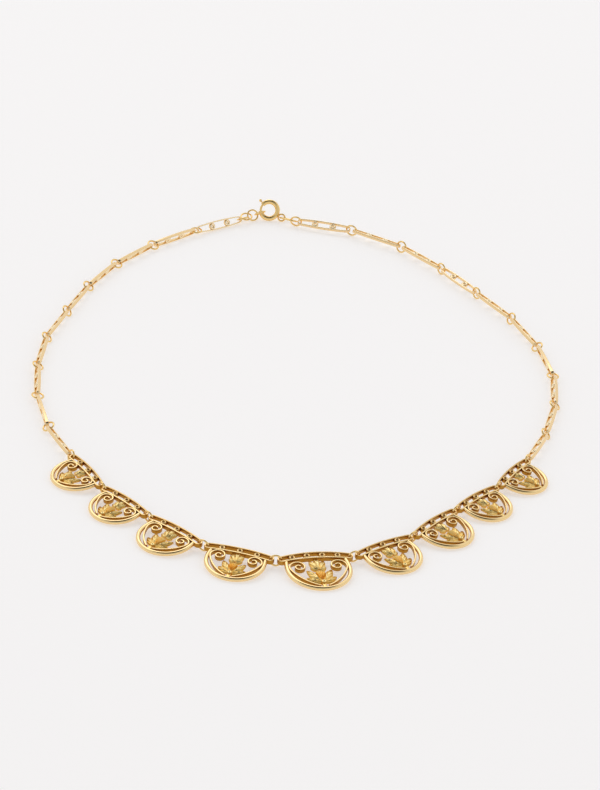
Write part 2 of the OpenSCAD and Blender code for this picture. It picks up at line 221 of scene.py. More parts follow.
def edges_in(geom):
    """The edges among what an operator gave back."""
    return [e for e in geom if isinstance(e, bmesh.types.BMEdge)]


def verts_in(geom):
    """The points among what an operator gave back."""
    return [v for v in geom if isinstance(v, bmesh.types.BMVert)]


def strip_section(bm, place, thick, deep, soft):
    """The loop of edges of a flat strip's section, its corners softened."""
    old = set(bm.edges)
    grid = bmesh.ops.create_grid(bm, x_segments=1, y_segments=1, size=0.5,
                                 matrix=place @ Matrix.Diagonal((thick, deep, 1, 1)))
    bmesh.ops.bevel(bm, geom=grid["verts"], offset=soft, offset_type="OFFSET",
                    segments=CORNER_SEGMENTS, profile=0.5, affect="VERTICES", material=-1)
    edges = [e for e in bm.edges if e not in old]
    bmesh.ops.delete(bm, geom=list({f for e in edges for f in e.link_faces}),
                     context="FACES_ONLY")
    return edges


def wire_section(bm, place, thick, sides=WIRE_SIDES):
    """The loop of edges of a round wire's section."""
    old = set(bm.edges)
    bmesh.ops.create_circle(bm, cap_ends=False, segments=sides, radius=thick / 2, matrix=place)
    return [e for e in bm.edges if e not in old]


def run_on(bm, section, at, heading, bends):
    """Runs a section along bends, each a radius and a turn, a right turn being negative."""
    loop = section
    for radius, turn in bends:
        centre = at + radius * toward(heading + math.copysign(90, turn))
        steps = max(2, math.ceil(abs(turn) / FACET),
                    math.ceil(math.radians(abs(turn)) * radius / LONG_FACET))
        made = bmesh.ops.spin(bm, geom=loop, cent=(centre[0], centre[1], 0), axis=(0, 0, 1),
                              dvec=(0, 0, 0), angle=math.radians(turn), steps=steps,
                              use_merge=False, use_normal_flip=False, use_duplicate=False)
        loop = edges_in(made["geom_last"])
        at = centre + Matrix.Rotation(math.radians(turn), 2) @ (at - centre)
        heading += turn
    return loop


def draw_out(bm, section, way):
    """Draws a section straight on, and gives its new end."""
    made = bmesh.ops.extrude_edge_only(bm, edges=section)["geom"]
    bmesh.ops.translate(bm, vec=way, verts=verts_in(made))
    return edges_in(made)


def cap(bm, loop):
    """Closes a loop of edges with one face."""
    bmesh.ops.contextual_create(bm, geom=loop)


def weld(bm):
    """Closes a piece where its ends meet, and turns its faces outwards."""
    bmesh.ops.remove_doubles(bm, verts=bm.verts, dist=WELD)
    bmesh.ops.recalc_face_normals(bm, faces=bm.faces)


def ring_of(bm, section, centre, axis=(0, 0, 1), steps=RING_STEPS):
    """Spins a section a whole turn and joins it to itself."""
    bmesh.ops.spin(bm, geom=section, cent=centre, axis=axis, dvec=(0, 0, 0),
                   angle=2 * math.pi, steps=steps, use_merge=True,
                   use_normal_flip=False, use_duplicate=False)


def tell(what, shape, *args):
    """Makes a shape once, to say how many faces it has and how wide it is."""
    bm = bmesh.new()
    shape(bm, *args)
    xs = [v.co.x for v in bm.verts]
    print(what, "has", len(bm.faces), "faces and is", round(max(xs) - min(xs), 2), "mm wide")
    bm.free()


print("a bend gets a ring of faces every", FACET, "degrees")

# %% [markdown]
# ## The ladder link
#
# A ladder link is one strip bent into a long loop, set on edge, and two short tubes, the
# collets, soldered between its sides. The sides bow out a little, which the eye reads as
# hand work. The loop is made with four bends: a long one, a tight end, the other long one,
# and the other end.

# %% Loops of strip and collets
STRIP_SOFT = 0.09
COLLET_STEPS, COLLET_LIP = 28, 0.45
LINK_BORE, LINK_COLLETS = 0.45, (-1 / 6, 1 / 6)  # where the collets stand, as shares of a link
SOLDER = 0.06  # how far one piece sinks into the next


def strip_loop(bm, length, end_r, top_bow, low_bow, thick, deep):
    """A strip bent into a long loop, each of its sides bowed by its own angle."""
    c = length / 2 - thick / 2 - end_r
    top_r = c / math.sin(math.radians(top_bow)) + end_r
    low_r = abs(c / math.sin(math.radians(low_bow)) - end_r)
    end_turn = -(180 - top_bow + low_bow)
    start = Vector((-c, 0)) + end_r * toward(90 + top_bow)
    section = strip_section(bm, across_path(start, top_bow), thick, deep, STRIP_SOFT)
    run_on(bm, section, start, top_bow,
           [(top_r, -2 * top_bow), (end_r, end_turn), (low_r, 2 * low_bow), (end_r, end_turn)])


def collet(bm, x, y, outer, bore, deep):
    """A short tube with rolled lips."""
    wall = (outer - bore) / 2
    section = strip_section(bm, Matrix.Translation((x + bore / 2 + wall / 2, y, 0))
                            @ Matrix.Rotation(math.pi / 2, 4, "X"), wall, deep, wall * COLLET_LIP)
    ring_of(bm, section, (x, y, 0), steps=COLLET_STEPS)


def arch_height(x, length, end_r, thick, bow):
    """How high a bowed side stands over the line through the end bends, at x."""
    c = length / 2 - thick / 2 - end_r
    side = end_r if bow < 0 else -end_r
    r = c / math.sin(math.radians(abs(bow))) + side
    return math.sqrt(r ** 2 - x ** 2) - c / math.tan(math.radians(abs(bow)))


def ladder_link(bm):
    """A long loop of strip with two collets between its sides."""
    strip_loop(bm, LINK_LENGTH, LINK_END_R, LINK_BOW, -LINK_BOW, LINK_STRIP, LINK_DEPTH)
    for share in LINK_COLLETS:
        x = share * LINK_LENGTH
        half = arch_height(x, LINK_LENGTH, LINK_END_R, LINK_STRIP, -LINK_BOW)
        collet(bm, x, 0, 2 * half - LINK_STRIP + 2 * SOLDER, LINK_BORE, LINK_DEPTH)
    weld(bm)


tell("a ladder link", ladder_link)

# %% [markdown]
# ## A panel's gallery, rim and scrolls
#
# The gallery is a second strip loop, arched over its length, with collets standing in it.
# Under it a thick round wire makes the rim. Two strips leave the foot of the rim, run up
# along its inside and curl into volutes. A volute is drawn as a row of bends, each a little
# tighter than the one before, which is also how it is bent on round-nosed pliers.

# %% Gallery, rim and scrolls
GALLERY_BORE = 0.5
RIM_SIDES = 16
SCROLL_FOOT, LONG_BEND_R = 8, 1.7
VOLUTE = [  # radius as a share of the inside of the rim, turn
    (0.3, 115), (0.235, 90), (0.185, 90), (0.14, 90), (0.105, 90), (0.085, 60)]


def rim_r(i):
    """The radius of the rim, at the middle of its wire."""
    return PANELS[i].width / 2 - RIM_INSET - RIM_WIRE / 2


def rim_y(i):
    """Where the centre of the rim lies, below the line through the joints."""
    return rim_r(i) + RIM_WIRE / 2 - PANELS[i].depth


def gallery(bm, i):
    """The arched loop along the top of panel i, with its collets."""
    panel = PANELS[i]
    strip_loop(bm, panel.width, GALLERY_END_R, panel.upper_bow, panel.lower_bow, STRIP,
               GALLERY_DEPTH)
    for k in range(panel.collets):
        x = (k - (panel.collets - 1) / 2) * panel.width / (panel.collets + 1)
        top = arch_height(x, panel.width, GALLERY_END_R, STRIP, -panel.upper_bow)
        low = arch_height(x, panel.width, GALLERY_END_R, STRIP, panel.lower_bow)
        collet(bm, x, (top + low) / 2, top - low - STRIP + 2 * SOLDER, GALLERY_BORE, GALLERY_DEPTH)
    weld(bm)


def rim(bm, i):
    """Half a turn of wire, with sides that lean in to the gallery."""
    r = rim_r(i)
    side_r = 2 * r
    panel = PANELS[i]
    top = arch_height(r - STRIP, panel.width, GALLERY_END_R, STRIP, panel.lower_bow)
    side = math.degrees(math.asin((top - rim_y(i)) / side_r))
    start = Vector((side_r - r, rim_y(i))) + side_r * toward(180 - side)
    section = wire_section(bm, across_path(start, 270 - side), RIM_WIRE, RIM_SIDES)
    cap(bm, section)
    last = run_on(bm, section, start, 270 - side, [(side_r, side), (r, 180), (side_r, side)])
    cap(bm, last)
    weld(bm)


def scroll(bm, i):
    """The scroll on the right. Its mirror image stands on the left."""
    touch_r = rim_r(i) - RIM_WIRE / 2 - STRIP / 2 + SOLDER
    half_span = (90 - SCROLL_FOOT - PANELS[i].scroll_side) / 2
    long_half = math.degrees(math.asin(math.sin(math.radians(half_span)) / LONG_BEND_R))
    bends = [(LONG_BEND_R * touch_r, 2 * long_half)] + [(r * touch_r, a) for r, a in VOLUTE]
    foot = Vector((0, rim_y(i))) + touch_r * toward(SCROLL_FOOT - 90)
    heading = SCROLL_FOOT + half_span - long_half
    section = strip_section(bm, across_path(foot, heading), STRIP, SCROLL_DEPTH, STRIP_SOFT)
    cap(bm, section)
    last = run_on(bm, section, foot, heading, bends)
    cap(bm, last)


def scrolls(bm, i):
    """The pair of scrolls of panel i."""
    scroll(bm, i)
    bmesh.ops.mirror(bm, geom=bm.verts[:] + bm.edges[:] + bm.faces[:], axis="X",
                     merge_dist=-1, mirror_u=False, mirror_v=False)
    weld(bm)


tell("the middle gallery", gallery, 0)
tell("the middle rim", rim, 0)
tell("its pair of scrolls", scrolls, 0)

# %% [markdown]
# ## The spray of leaves
#
# Each panel holds a spray that is pressed and chased: four veined leaves round a ribbed fan,
# a bud of five petals above them, and a dished bead where the stems meet. A leaf is a small
# sheet whose height follows a rule: domed across, curling at its tip, with a groove along
# its rib and slanting veins cut in. A grid is enough to start from. Its points are moved to
# the leaf's outline and height, and its border is drawn down to give the sheet its thickness.

# %% A sheet that follows a rule
SHEET_TOP, SHEET_DEEP = 0.42, 0.6
SHEET_CELLS = (48, 20)


def sheet(bm, place, rule, bottom):
    """A grid whose points follow a rule, with its border drawn down to a flat bottom."""
    old = set(bm.verts)
    bmesh.ops.create_grid(bm, x_segments=SHEET_CELLS[0], y_segments=SHEET_CELLS[1], size=0.5)
    new = [v for v in bm.verts if v not in old]
    for v in new:
        v.co = rule(v.co.x + 0.5, 2 * v.co.y)
    border = {e for v in new for e in v.link_edges if e.is_boundary}
    walls = bmesh.ops.extrude_edge_only(bm, edges=list(border))["geom"]
    for v in verts_in(walls):
        v.co.z = bottom
    bmesh.ops.contextual_create(bm, geom=edges_in(walls))
    bmesh.ops.transform(bm, matrix=place, verts=[v for v in bm.verts if v not in old])


# %% Leaves and petals
LEAVES = [  # direction, length, width, lower, as shares of the rim's radius
    (32, 0.76, 0.3, 0.06), (-32, 0.76, 0.3, 0.08), (60, 0.56, 0.26, 0.13), (-60, 0.56, 0.26, 0.15)]
PETALS = [  # the same, as shares of the bud's length
    (0, 1, 0.5, -0.07), (27, 0.9, 0.42, 0.02), (-27, 0.9, 0.42, 0.04),
    (62, 0.5, 0.32, 0.1), (-62, 0.5, 0.32, 0.12)]
LEAF_VEINS = {"pitch": 0.46, "cut": 0.2, "slant": 0.72}
PETAL_VEINS = {"pitch": 0.5, "cut": 0.2, "slant": 0.9}
LEAF_START = 0.08  # where the sheet begins, as a share of the leaf's length
LEAF_BLUNT = (0.02, 0.985)  # beyond these shares of its length a leaf keeps its width
LEAF_BELLY, LEAF_FULL = 0.85, 0.7  # lower values: widest nearer the foot, and a fuller outline
RIB_CUT, RIB_HALF = 0.13, 0.09
DOME, CURL = 0.45, 0.3
VEIN_FADE, VEIN_EDGE, VEIN_LEAST = 0.12, 5, 0.15  # near the rib, near the edge, and at the edge


def leaf_rule(length, width, pitch, cut, slant):
    """The rule for a leaf along X, its veins slanting back towards the foot."""
    def rule(u, side):
        reach = min(max(u, LEAF_BLUNT[0]), LEAF_BLUNT[1])
        half = width / 2 * math.sin(math.pi * reach ** LEAF_BELLY) ** LEAF_FULL
        x, y = length * (LEAF_START + (1 - LEAF_START) * u), side * half
        rib = RIB_CUT * math.exp(-(y / RIB_HALF) ** 2)
        wave = 0.5 - 0.5 * math.cos(2 * math.pi * ((1 - slant) * x - slant * abs(y)) / pitch)
        inside = min(1, abs(y) / VEIN_FADE) * min(1, VEIN_EDGE * (1 - abs(side)) + VEIN_LEAST)
        dome = DOME * side ** 2 * half + CURL * (2 * u - 1) ** 2 * width / 2
        return Vector((x, y, SHEET_TOP - dome - rib - cut * wave * inside))
    return rule


def leaves(bm, foot_y, rows, size, veins):
    """A leaf for each row, fanned out from one foot."""
    for direction, length, width, lower in rows:
        place = (Matrix.Translation((0, foot_y, -lower))
                 @ Matrix.Rotation(math.radians(90 + direction), 4, "Z"))
        sheet(bm, place, leaf_rule(length * size, width * size, **veins), SHEET_TOP - SHEET_DEEP)


tell("the middle panel's ring of leaves", leaves, 0, LEAVES, rim_r(0), LEAF_VEINS)

# %% [markdown]
# The fan uses the same sheet, bent round the bead, with its ribs running outwards. The bead
# is a button with a dish in its top: half its outline is drawn once, spun a whole turn, and
# closed below and in the dish.

# %% Fan and bead
FAN_LENGTH, FAN_HALF, FAN_FROM, FAN_RISE, FAN_RIBS = 0.56, 17, 0.3, 0.15, 5
FAN_RIB, FAN_SINK, FAN_NOTCH, FAN_FALL = 0.26, 0.24, 0.07, 0.1
FAN_LEVEL = 3 / 4  # the fan dips before this share of its length, and rises past it
FAN_RIB_STARTS = 2.5  # the ribs have their full height from 1 / 2.5 of the fan's length
BEAD_STEPS = 28
BEAD_OUTLINE = [  # how far in from the bead's side, height
    (0, -0.38), (0, 0.4), (0.03, 0.5), (0.1, 0.57), (0.19, 0.6), (0.28, 0.57), (0.36, 0.47)]


def ribbed_fan(bm, foot_y, length):
    """A fan whose ribs spread from the bead, with a notched end that rises a little."""
    def rule(u, side):
        notch = (1 - math.cos(side * FAN_RIBS * math.pi)) / 2
        away = (FAN_FROM + (length - FAN_FROM) * u) * (1 - FAN_NOTCH * notch * u)
        turn = math.radians(90 + side * FAN_HALF)
        ridge = abs(math.sin(side * FAN_RIBS * math.pi / 2)) * min(1, FAN_RIB_STARTS * u)
        rise = FAN_RISE * (u / FAN_LEVEL - 1)
        return Vector((away * math.cos(turn), away * math.sin(turn),
                       SHEET_TOP + rise - FAN_SINK + FAN_RIB * ridge - FAN_FALL * side ** 2))
    sheet(bm, Matrix.Translation((0, foot_y, 0)), rule, SHEET_TOP - SHEET_DEEP + FAN_RISE / 2)


def bead(bm, y, size):
    """A round button with a dish in its top."""
    old = set(bm.verts)
    profile = [bm.verts.new((size / 2 - inward, 0, z)) for inward, z in BEAD_OUTLINE]
    edges = [bm.edges.new(pair) for pair in zip(profile, profile[1:])]
    ring_of(bm, edges, (0, 0, 0), steps=BEAD_STEPS)
    new = [v for v in bm.verts if v not in old]
    for inward, z in (BEAD_OUTLINE[0], BEAD_OUTLINE[-1]):
        cap(bm, list({e for v in new if abs(v.co.z - z) < WELD
                      for e in v.link_edges if e.is_boundary}))
    bmesh.ops.translate(bm, vec=(0, y, 0), verts=new)


tell("the middle fan", ribbed_fan, 0, FAN_LENGTH * rim_r(0))

# %% The whole spray
SPRAY_FOOT, BUD_FOOT, BEAD = 0.71, 0.075, 0.16  # as shares of the rim's radius
STEM_WIDTH, STEM_DEPTH, STEM_SOFT = 0.8, 0.5, 0.1


def spray(bm, i):
    """The leaves and the fan round the bead, the bud above, and the stem down to the rim."""
    r = rim_r(i)
    foot_y = rim_y(i) - SPRAY_FOOT * r
    bud_y = rim_y(i) - BUD_FOOT * r
    leaves(bm, foot_y, LEAVES, r, LEAF_VEINS)
    leaves(bm, bud_y, PETALS, -bud_y, PETAL_VEINS)
    ribbed_fan(bm, foot_y, FAN_LENGTH * r)
    bead(bm, foot_y, BEAD * r)
    stem = strip_section(bm, across_path(Vector((0, rim_y(i) - r)), 90), STEM_WIDTH, STEM_DEPTH,
                         STEM_SOFT)
    cap(bm, stem)
    cap(bm, draw_out(bm, stem, (0, (1 - SPRAY_FOOT) * r, 0)))
    weld(bm)


tell("the middle spray", spray, 0)

# %% [markdown]
# ## Jump rings
#
# A jump ring is a turn of round wire. Each one here passes through the end bends of the two
# pieces beside it, and stands half way between their leans. Each side of the chain ends in a
# plain ring of its own, in line with the last link.

# %% Rings
OVAL_ENDS = ((1, 0), (-1, 180))  # side, heading where the bend starts


def jump_ring(bm, at, along, lean):
    """A ring round a point, in line with a direction and leaning over from upright."""
    place = Matrix.Translation(at) @ turned_to(along, 90 - lean)
    section = wire_section(bm, place @ across_path(Vector((RING_R, 0)), 90), RING_WIRE)
    ring_of(bm, section, place.translation, place.to_3x3() @ Vector((0, 0, 1)))


def oval_ring(bm, at, along, lean, half):
    """The same, drawn out by half on each side, along its direction."""
    old = set(bm.verts)
    loop = wire_section(bm, across_path(Vector((half, -RING_R)), 0), RING_WIRE)
    for side, heading in OVAL_ENDS:
        loop = run_on(bm, loop, Vector((side * half, -side * RING_R)), heading, [(RING_R, 180)])
        loop = draw_out(bm, loop, (-side * 2 * half, 0, 0))
    bmesh.ops.transform(bm, matrix=Matrix.Translation(at) @ turned_to(along, 90 - lean),
                        verts=[v for v in bm.verts if v not in old])


def end_bend(a, b, end_r, thick):
    """The middle of the end bend, near a, of a piece that runs from joint a to joint b."""
    return a + (b - a).normalized() * (TIP_GAP / 2 + end_r + thick / 2)


def bends_beside(side, k):
    """The two end bends that the ring of joint k passes through."""
    joints = JOINT[side]
    before = joints[k - 1] if k else JOINT["right" if side == "left" else "left"][0]
    strip = (GALLERY_END_R, STRIP)
    link = (LINK_END_R, LINK_STRIP)
    return (end_bend(joints[k], before, *(link if k > SIDE_PANELS else strip)),
            end_bend(joints[k], joints[k + 1], *(link if k + 1 > SIDE_PANELS else strip)))


def joint_ring(bm, side, k):
    """The ring at joint k of one side."""
    before, after = bends_beside(side, k)
    if side == "left":
        before, after = after, before
    jump_ring(bm, (before + after) / 2, after - before, lean_at(ROLLS[side], k))


def front_rings(bm):
    """The rings between the panels."""
    for k in range(SIDE_PANELS):
        joint_ring(bm, "left", k)
        joint_ring(bm, "right", k)


def side_rings(bm, side):
    """The rings of one side, from the outermost panel to the plain one at the end."""
    joints = JOINT[side]
    for k in range(SIDE_PANELS, JOINTS):
        joint_ring(bm, side, k)
    last = joints[-2] - joints[-1] if side == "left" else joints[-1] - joints[-2]
    jump_ring(bm, joints[-1], last, ROLLS[side][-1])


tell("the row of rings at the front", front_rings)

# %% [markdown]
# ## The rings at the clasp
#
# Between the two ends of the chain come a ring that lies nearly flat, an upright one, one
# that is hooked into the bolt ring, and an oval one at the bolt ring's eye. Their places are
# measured from the left end of the chain: along the line to the right end, back from it, and
# up. The bolt ring leans back, so a place in its plane is a distance and an angle from its
# centre.

# %% Places at the clasp
BOLT_OD, TUBE_OD, TUBE_WALL = 5.15, 1.15, 0.15
BOLT_R = (BOLT_OD - TUBE_OD) / 2
BOLT_LEAN, BOLT_ALONG, BOLT_BACK = 29, 6.2, 3.1
EYE_R, EYE_WIRE, EYE_SUNK = 0.8, 0.42, 0.15
EYE_OUT, EYE_AT = BOLT_OD / 2 + EYE_R + EYE_WIRE / 2 - EYE_SUNK, -27
HOOK_OUT, HOOK_AT = 2.3, 202
UPRIGHT_PLACE, LYING_PLACE = (2.35, 1.86, 1.29), (0.88, 1.17, 1.13)  # along, back, up
HOOK_LEAN, UPRIGHT_LEAN, LYING_LEAN = 128, 38, 80
OVAL_LEAN, OVAL_HALF, OVAL_SHARE, OVAL_DROP = 114, 0.9, 0.47, 0.04
left_end, right_end = JOINT["left"][-1], JOINT["right"][-1]
clasp_dir = math.radians(angle_of(right_end - left_end))
bolt_tilt = math.radians(BOLT_LEAN)


def in_clasp(along, back, z):
    """A place along and back from the left end, at a height."""
    return Vector((left_end[0] + along * math.cos(clasp_dir) - back * math.sin(clasp_dir),
                   left_end[1] + along * math.sin(clasp_dir) + back * math.cos(clasp_dir), z))


def in_bolt(r, a):
    """A place in the plane of the bolt ring."""
    up = r * math.sin(math.radians(a))
    return in_clasp(BOLT_ALONG + r * math.cos(math.radians(a)),
                    BOLT_BACK + up * math.sin(bolt_tilt),
                    BOLT_R * math.cos(bolt_tilt) + TUBE_OD / 2 + up * math.cos(bolt_tilt))


BOLT_PLACE = (Matrix.Translation(in_bolt(0, 0)) @ Matrix.Rotation(clasp_dir, 4, "Z")
              @ Matrix.Rotation(math.pi / 2 - bolt_tilt, 4, "X"))
print("the bolt ring's centre:", [round(c, 2) for c in BOLT_PLACE.translation])


def clasp_rings(bm):
    """The lying, upright, hooked and oval rings."""
    eye, hooked = in_bolt(EYE_OUT, EYE_AT), in_bolt(HOOK_OUT, HOOK_AT)
    upright, lying = in_clasp(*UPRIGHT_PLACE), in_clasp(*LYING_PLACE)
    jump_ring(bm, hooked, hooked - upright, HOOK_LEAN)
    jump_ring(bm, upright, hooked - upright, UPRIGHT_LEAN)
    jump_ring(bm, lying, upright - lying, LYING_LEAN)
    middle = eye + (right_end - eye) * OVAL_SHARE - Vector((0, 0, OVAL_DROP))
    oval_ring(bm, middle, right_end - eye, OVAL_LEAN, OVAL_HALF)


tell("the group of rings at the clasp", clasp_rings)

# %% [markdown]
# ## The bolt ring
#
# A bolt ring is a tube bent into a ring, with a gap. Inside it a sprung tongue closes the gap,
# and a knob on the tongue travels along a slit in the tube's outer side. The closed stretch is
# two round sections spun side by side and joined at their ends, which leaves a real bore. The
# slit stretch has one section with both walls in it, open where the slit is.

# %% The tube with its slit and eye
GATE, GATE_FROM = 46, 144  # the gap, in degrees round the bolt ring
SLIT, SLIT_FROM, SLIT_FACETS = 0.46, 77, 17
TUBE_SIDES = 20


def closed_tube(bm):
    """The tube from the gap round to the slit."""
    start = GATE_FROM + GATE
    at = BOLT_R * toward(start)
    walls = []
    for thick in (TUBE_OD, TUBE_OD - 2 * TUBE_WALL):
        first = wire_section(bm, across_path(at, start + 90), thick, TUBE_SIDES)
        last = run_on(bm, first, at, start + 90, [(BOLT_R, 360 + SLIT_FROM - start)])
        walls.append((first, last))
    for outer, inner in zip(*walls):
        bmesh.ops.bridge_loops(bm, edges=outer + inner)


def slit_section(bm, place, outer, inner, slit):
    """The section of a tube that is slit on the side away from the ring's centre."""
    points = []
    for r, way in ((outer / 2, 1), (inner / 2, -1)):
        lip = math.degrees(math.asin(slit / 2 / r))
        points += [r * toward(180 + way * (lip + (360 - 2 * lip) * k / SLIT_FACETS))
                   for k in range(SLIT_FACETS + 1)]
    verts = [bm.verts.new(place @ p.to_3d()) for p in points]
    return [bm.edges.new(pair) for pair in zip(verts, verts[1:] + verts[:1])]


def slit_tube(bm):
    """The tube where the knob travels, from the slit's start to the gap."""
    at = BOLT_R * toward(SLIT_FROM)
    first = slit_section(bm, across_path(at, SLIT_FROM + 90), TUBE_OD, TUBE_OD - 2 * TUBE_WALL,
                         SLIT)
    cap(bm, first)
    cap(bm, run_on(bm, first, at, SLIT_FROM + 90, [(BOLT_R, GATE_FROM - SLIT_FROM)]))


def bolt_ring(bm):
    """The tube, open at the gap and slit where the knob travels, and its eye."""
    closed_tube(bm)
    slit_tube(bm)
    centre = EYE_OUT * toward(EYE_AT)
    section = wire_section(bm, across_path(centre + Vector((EYE_R, 0)), 90), EYE_WIRE)
    ring_of(bm, section, centre.to_3d())
    bmesh.ops.transform(bm, matrix=BOLT_PLACE, verts=bm.verts)
    weld(bm)


tell("the bolt ring", bolt_ring)

# %% The tongue and its knob
TONGUE, TONGUE_BACK, GATE_SHUT = 0.54, 60, 9  # its wire, and its reach before and past the gap
KNOB_AT, KNOB, KNOB_STEM, KNOB_CLEAR = 136, 0.72, 0.3, 0.5
KNOB_OUT = BOLT_OD / 2 + KNOB_CLEAR
KNOB_ROUND, KNOB_ROWS = 20, 12


def trigger(bm):
    """The tongue, and the knob that pulls it back."""
    start = GATE_FROM - TONGUE_BACK
    at = BOLT_R * toward(start)
    first = wire_section(bm, across_path(at, start + 90), TONGUE)
    cap(bm, first)
    cap(bm, run_on(bm, first, at, start + 90, [(BOLT_R, TONGUE_BACK + GATE + GATE_SHUT)]))
    knob, root = KNOB_OUT * toward(KNOB_AT), BOLT_R * toward(KNOB_AT)
    bmesh.ops.create_uvsphere(bm, u_segments=KNOB_ROUND, v_segments=KNOB_ROWS, radius=KNOB / 2,
                              matrix=Matrix.Translation(knob.to_3d()))
    stem = wire_section(bm, Matrix.Translation(root.to_3d())
                        @ Matrix.Rotation(math.radians(KNOB_AT), 4, "Z")
                        @ Matrix.Rotation(math.pi / 2, 4, "Y"), KNOB_STEM)
    cap(bm, stem)
    cap(bm, draw_out(bm, stem, (knob - root).to_3d()))
    bmesh.ops.transform(bm, matrix=BOLT_PLACE, verts=bm.verts)
    weld(bm)


tell("the trigger", trigger)

# %% [markdown]
# ## Shader maths in plain expressions
#
# A finish is easier to read as a formula than as a page of boxes. The class below wraps one
# socket, so that adding or multiplying two of them adds the Math node that does it, and one
# method makes any other node.

# %% A socket that can be reckoned with


class Socket:
    """A shader socket or a plain number, with arithmetic that adds Math nodes."""

    def __init__(self, tree, value):
        self.tree, self.value = tree, value

    def maths(self, operation, *inputs):
        """A Math node with this socket as its first input."""
        return self.node("ShaderNodeMath", {"operation": operation},
                         {k: v for k, v in enumerate((self, *inputs))})

    def node(self, kind, settings=None, inputs=None, output=0):
        """Any node: its settings come first, and then its inputs are linked or set."""
        made = self.tree.nodes.new(kind)
        for name, value in (settings or {}).items():
            setattr(made, name, value)
        for name, value in (inputs or {}).items():
            if isinstance(value, Socket):
                value = value.value
            if isinstance(value, bpy.types.NodeSocket):
                self.tree.links.new(value, made.inputs[name])
            else:
                made.inputs[name].default_value = value
        return Socket(self.tree, made.outputs[output])

    def __add__(self, other):
        return self.maths("ADD", other)

    def __radd__(self, other):
        return self.maths("ADD", other)

    def __sub__(self, other):
        return self.maths("SUBTRACT", other)

    def __rsub__(self, other):
        return Socket(self.tree, other).maths("SUBTRACT", self)

    def __mul__(self, other):
        return self.maths("MULTIPLY", other)

    def __rmul__(self, other):
        return self.maths("MULTIPLY", other)

    def clamped(self):
        """The same value, kept from 0 to 1."""
        return self.node("ShaderNodeClamp", inputs={0: self})

    def blend(self, low, high):
        """The colour this far on the way from low to high. A Mix node has its colours last."""
        return self.node("ShaderNodeMix", {"data_type": "RGBA"},
                         {"Factor": self, 6: (*low, 1), 7: (*high, 1)}, output=2)


print("a socket can add, subtract, multiply, clamp and blend")

# %% [markdown]
# ## The gold
#
# It is one metal, and it shows five finishes. What a polishing mop reaches, the edges and the
# round wires, is bright, and the thick rim is the brightest. The walls of the panels' strips
# stand in each other's way, so they stay satin, and their deeper colour is a painted shade for
# the light that leaves them after it has met gold more than once. The links are paler, and the
# wire of the rings is a little duller than the rim's. The leaves are matted with a fine punch and
# keep a drier yellow, with painted shade in the cuts. One function can make them all: a point
# attribute for polish and painted shade says how far a surface was within the mop's reach and
# how much painted shade it gets, and leads from a deep, shaded colour to a bright one.

# %% One metal with five finishes
BROAD_SCALE, FINE_SCALE, GRAIN_SCALE = 420, 6000, 9000  # how fine the noises are, per metre
BROAD_DETAIL, FINE_DETAIL, GRAIN_DETAIL = 3, 4, 2
WEAR, SMEAR = 0.35, 0.12  # how much the noises change the polish and the roughness
BUMP, BUMP_HEIGHT = 0.5, 0.00004


def noise(place, scale, detail):
    """Soft noise round 0.5."""
    return place.node("ShaderNodeTexNoise",
                      inputs={"Vector": place, "Scale": scale, "Detail": detail})


def gold(name, bright, deep, rough_bright, rough_deep, scratch, matting=0.0):
    """Gold whose point attribute leads from a deep colour, a painted shade, and a rough finish to
    the bright colour and a smooth finish.
    """
    material = bpy.data.materials.new(name)
    material.use_nodes = True
    tree = material.node_tree
    shader = tree.nodes["Principled BSDF"]
    place = Socket(tree, 0.0).node("ShaderNodeTexCoord", output=3)  # 3 is the Object output
    polish_and_shade = place.node("ShaderNodeAttribute", {"attribute_name": "polish_and_shade"}, output=2)
    fine = noise(place, FINE_SCALE, FINE_DETAIL)
    # painted shade: points marked low, on walls and in cuts, take the deep colour and the rough
    # finish
    wear_and_shade = (polish_and_shade + (noise(place, BROAD_SCALE, BROAD_DETAIL) - 0.5) * WEAR).clamped()
    rough = rough_deep + (rough_bright - rough_deep) * wear_and_shade + (fine - 0.5) * SMEAR
    height = fine * scratch + noise(place, GRAIN_SCALE, GRAIN_DETAIL) * matting
    bump = height.node("ShaderNodeBump", inputs={"Strength": BUMP, "Distance": BUMP_HEIGHT,
                                                 "Height": height})
    for socket, value in (("Base Color", wear_and_shade.blend(deep, bright)),
                          ("Roughness", rough.clamped()), ("Normal", bump)):
        tree.links.new(value.value, shader.inputs[socket])
    shader.inputs["Metallic"].default_value = 1.0
    return material


# each deep colour below is a painted shade for walls, low places and cuts
strip_gold = gold("strip_gold", bright=(1.0, 0.74, 0.36), deep=(0.50, 0.25, 0.035),
                  rough_bright=0.16, rough_deep=0.34, scratch=0.5)
link_gold = gold("link_gold", bright=(1.0, 0.84, 0.56), deep=(0.95, 0.70, 0.38),
                 rough_bright=0.16, rough_deep=0.24, scratch=0.4)
rim_gold = gold("rim_gold", bright=(0.97, 0.72, 0.36), deep=(0.90, 0.62, 0.24),
                rough_bright=0.09, rough_deep=0.2, scratch=0.2)
wire_gold = gold("wire_gold", bright=(0.93, 0.66, 0.28), deep=(0.80, 0.50, 0.16),
                 rough_bright=0.12, rough_deep=0.22, scratch=0.4)
leaf_gold = gold("leaf_gold", bright=(1.0, 0.79, 0.36), deep=(0.80, 0.46, 0.08),
                 rough_bright=0.24, rough_deep=0.38, scratch=0.5, matting=0.5)
print("finishes:", [m.name for m in (strip_gold, link_gold, rim_gold, wire_gold, leaf_gold)])

# %% [markdown]
# ## Marking the polish and the painted shade
#
# The attribute of polish and painted shade is a number on each point, worked out while a piece
# still lies in its own flat frame, where up is easy to tell. On a strip the upper and lower edges
# are rubbed bright, and the walls get painted shade. On a leaf the high, level places are bright,
# and low places and the sides of the cuts get painted shade. A picture could be painted for each
# piece, but a rule does all of them.

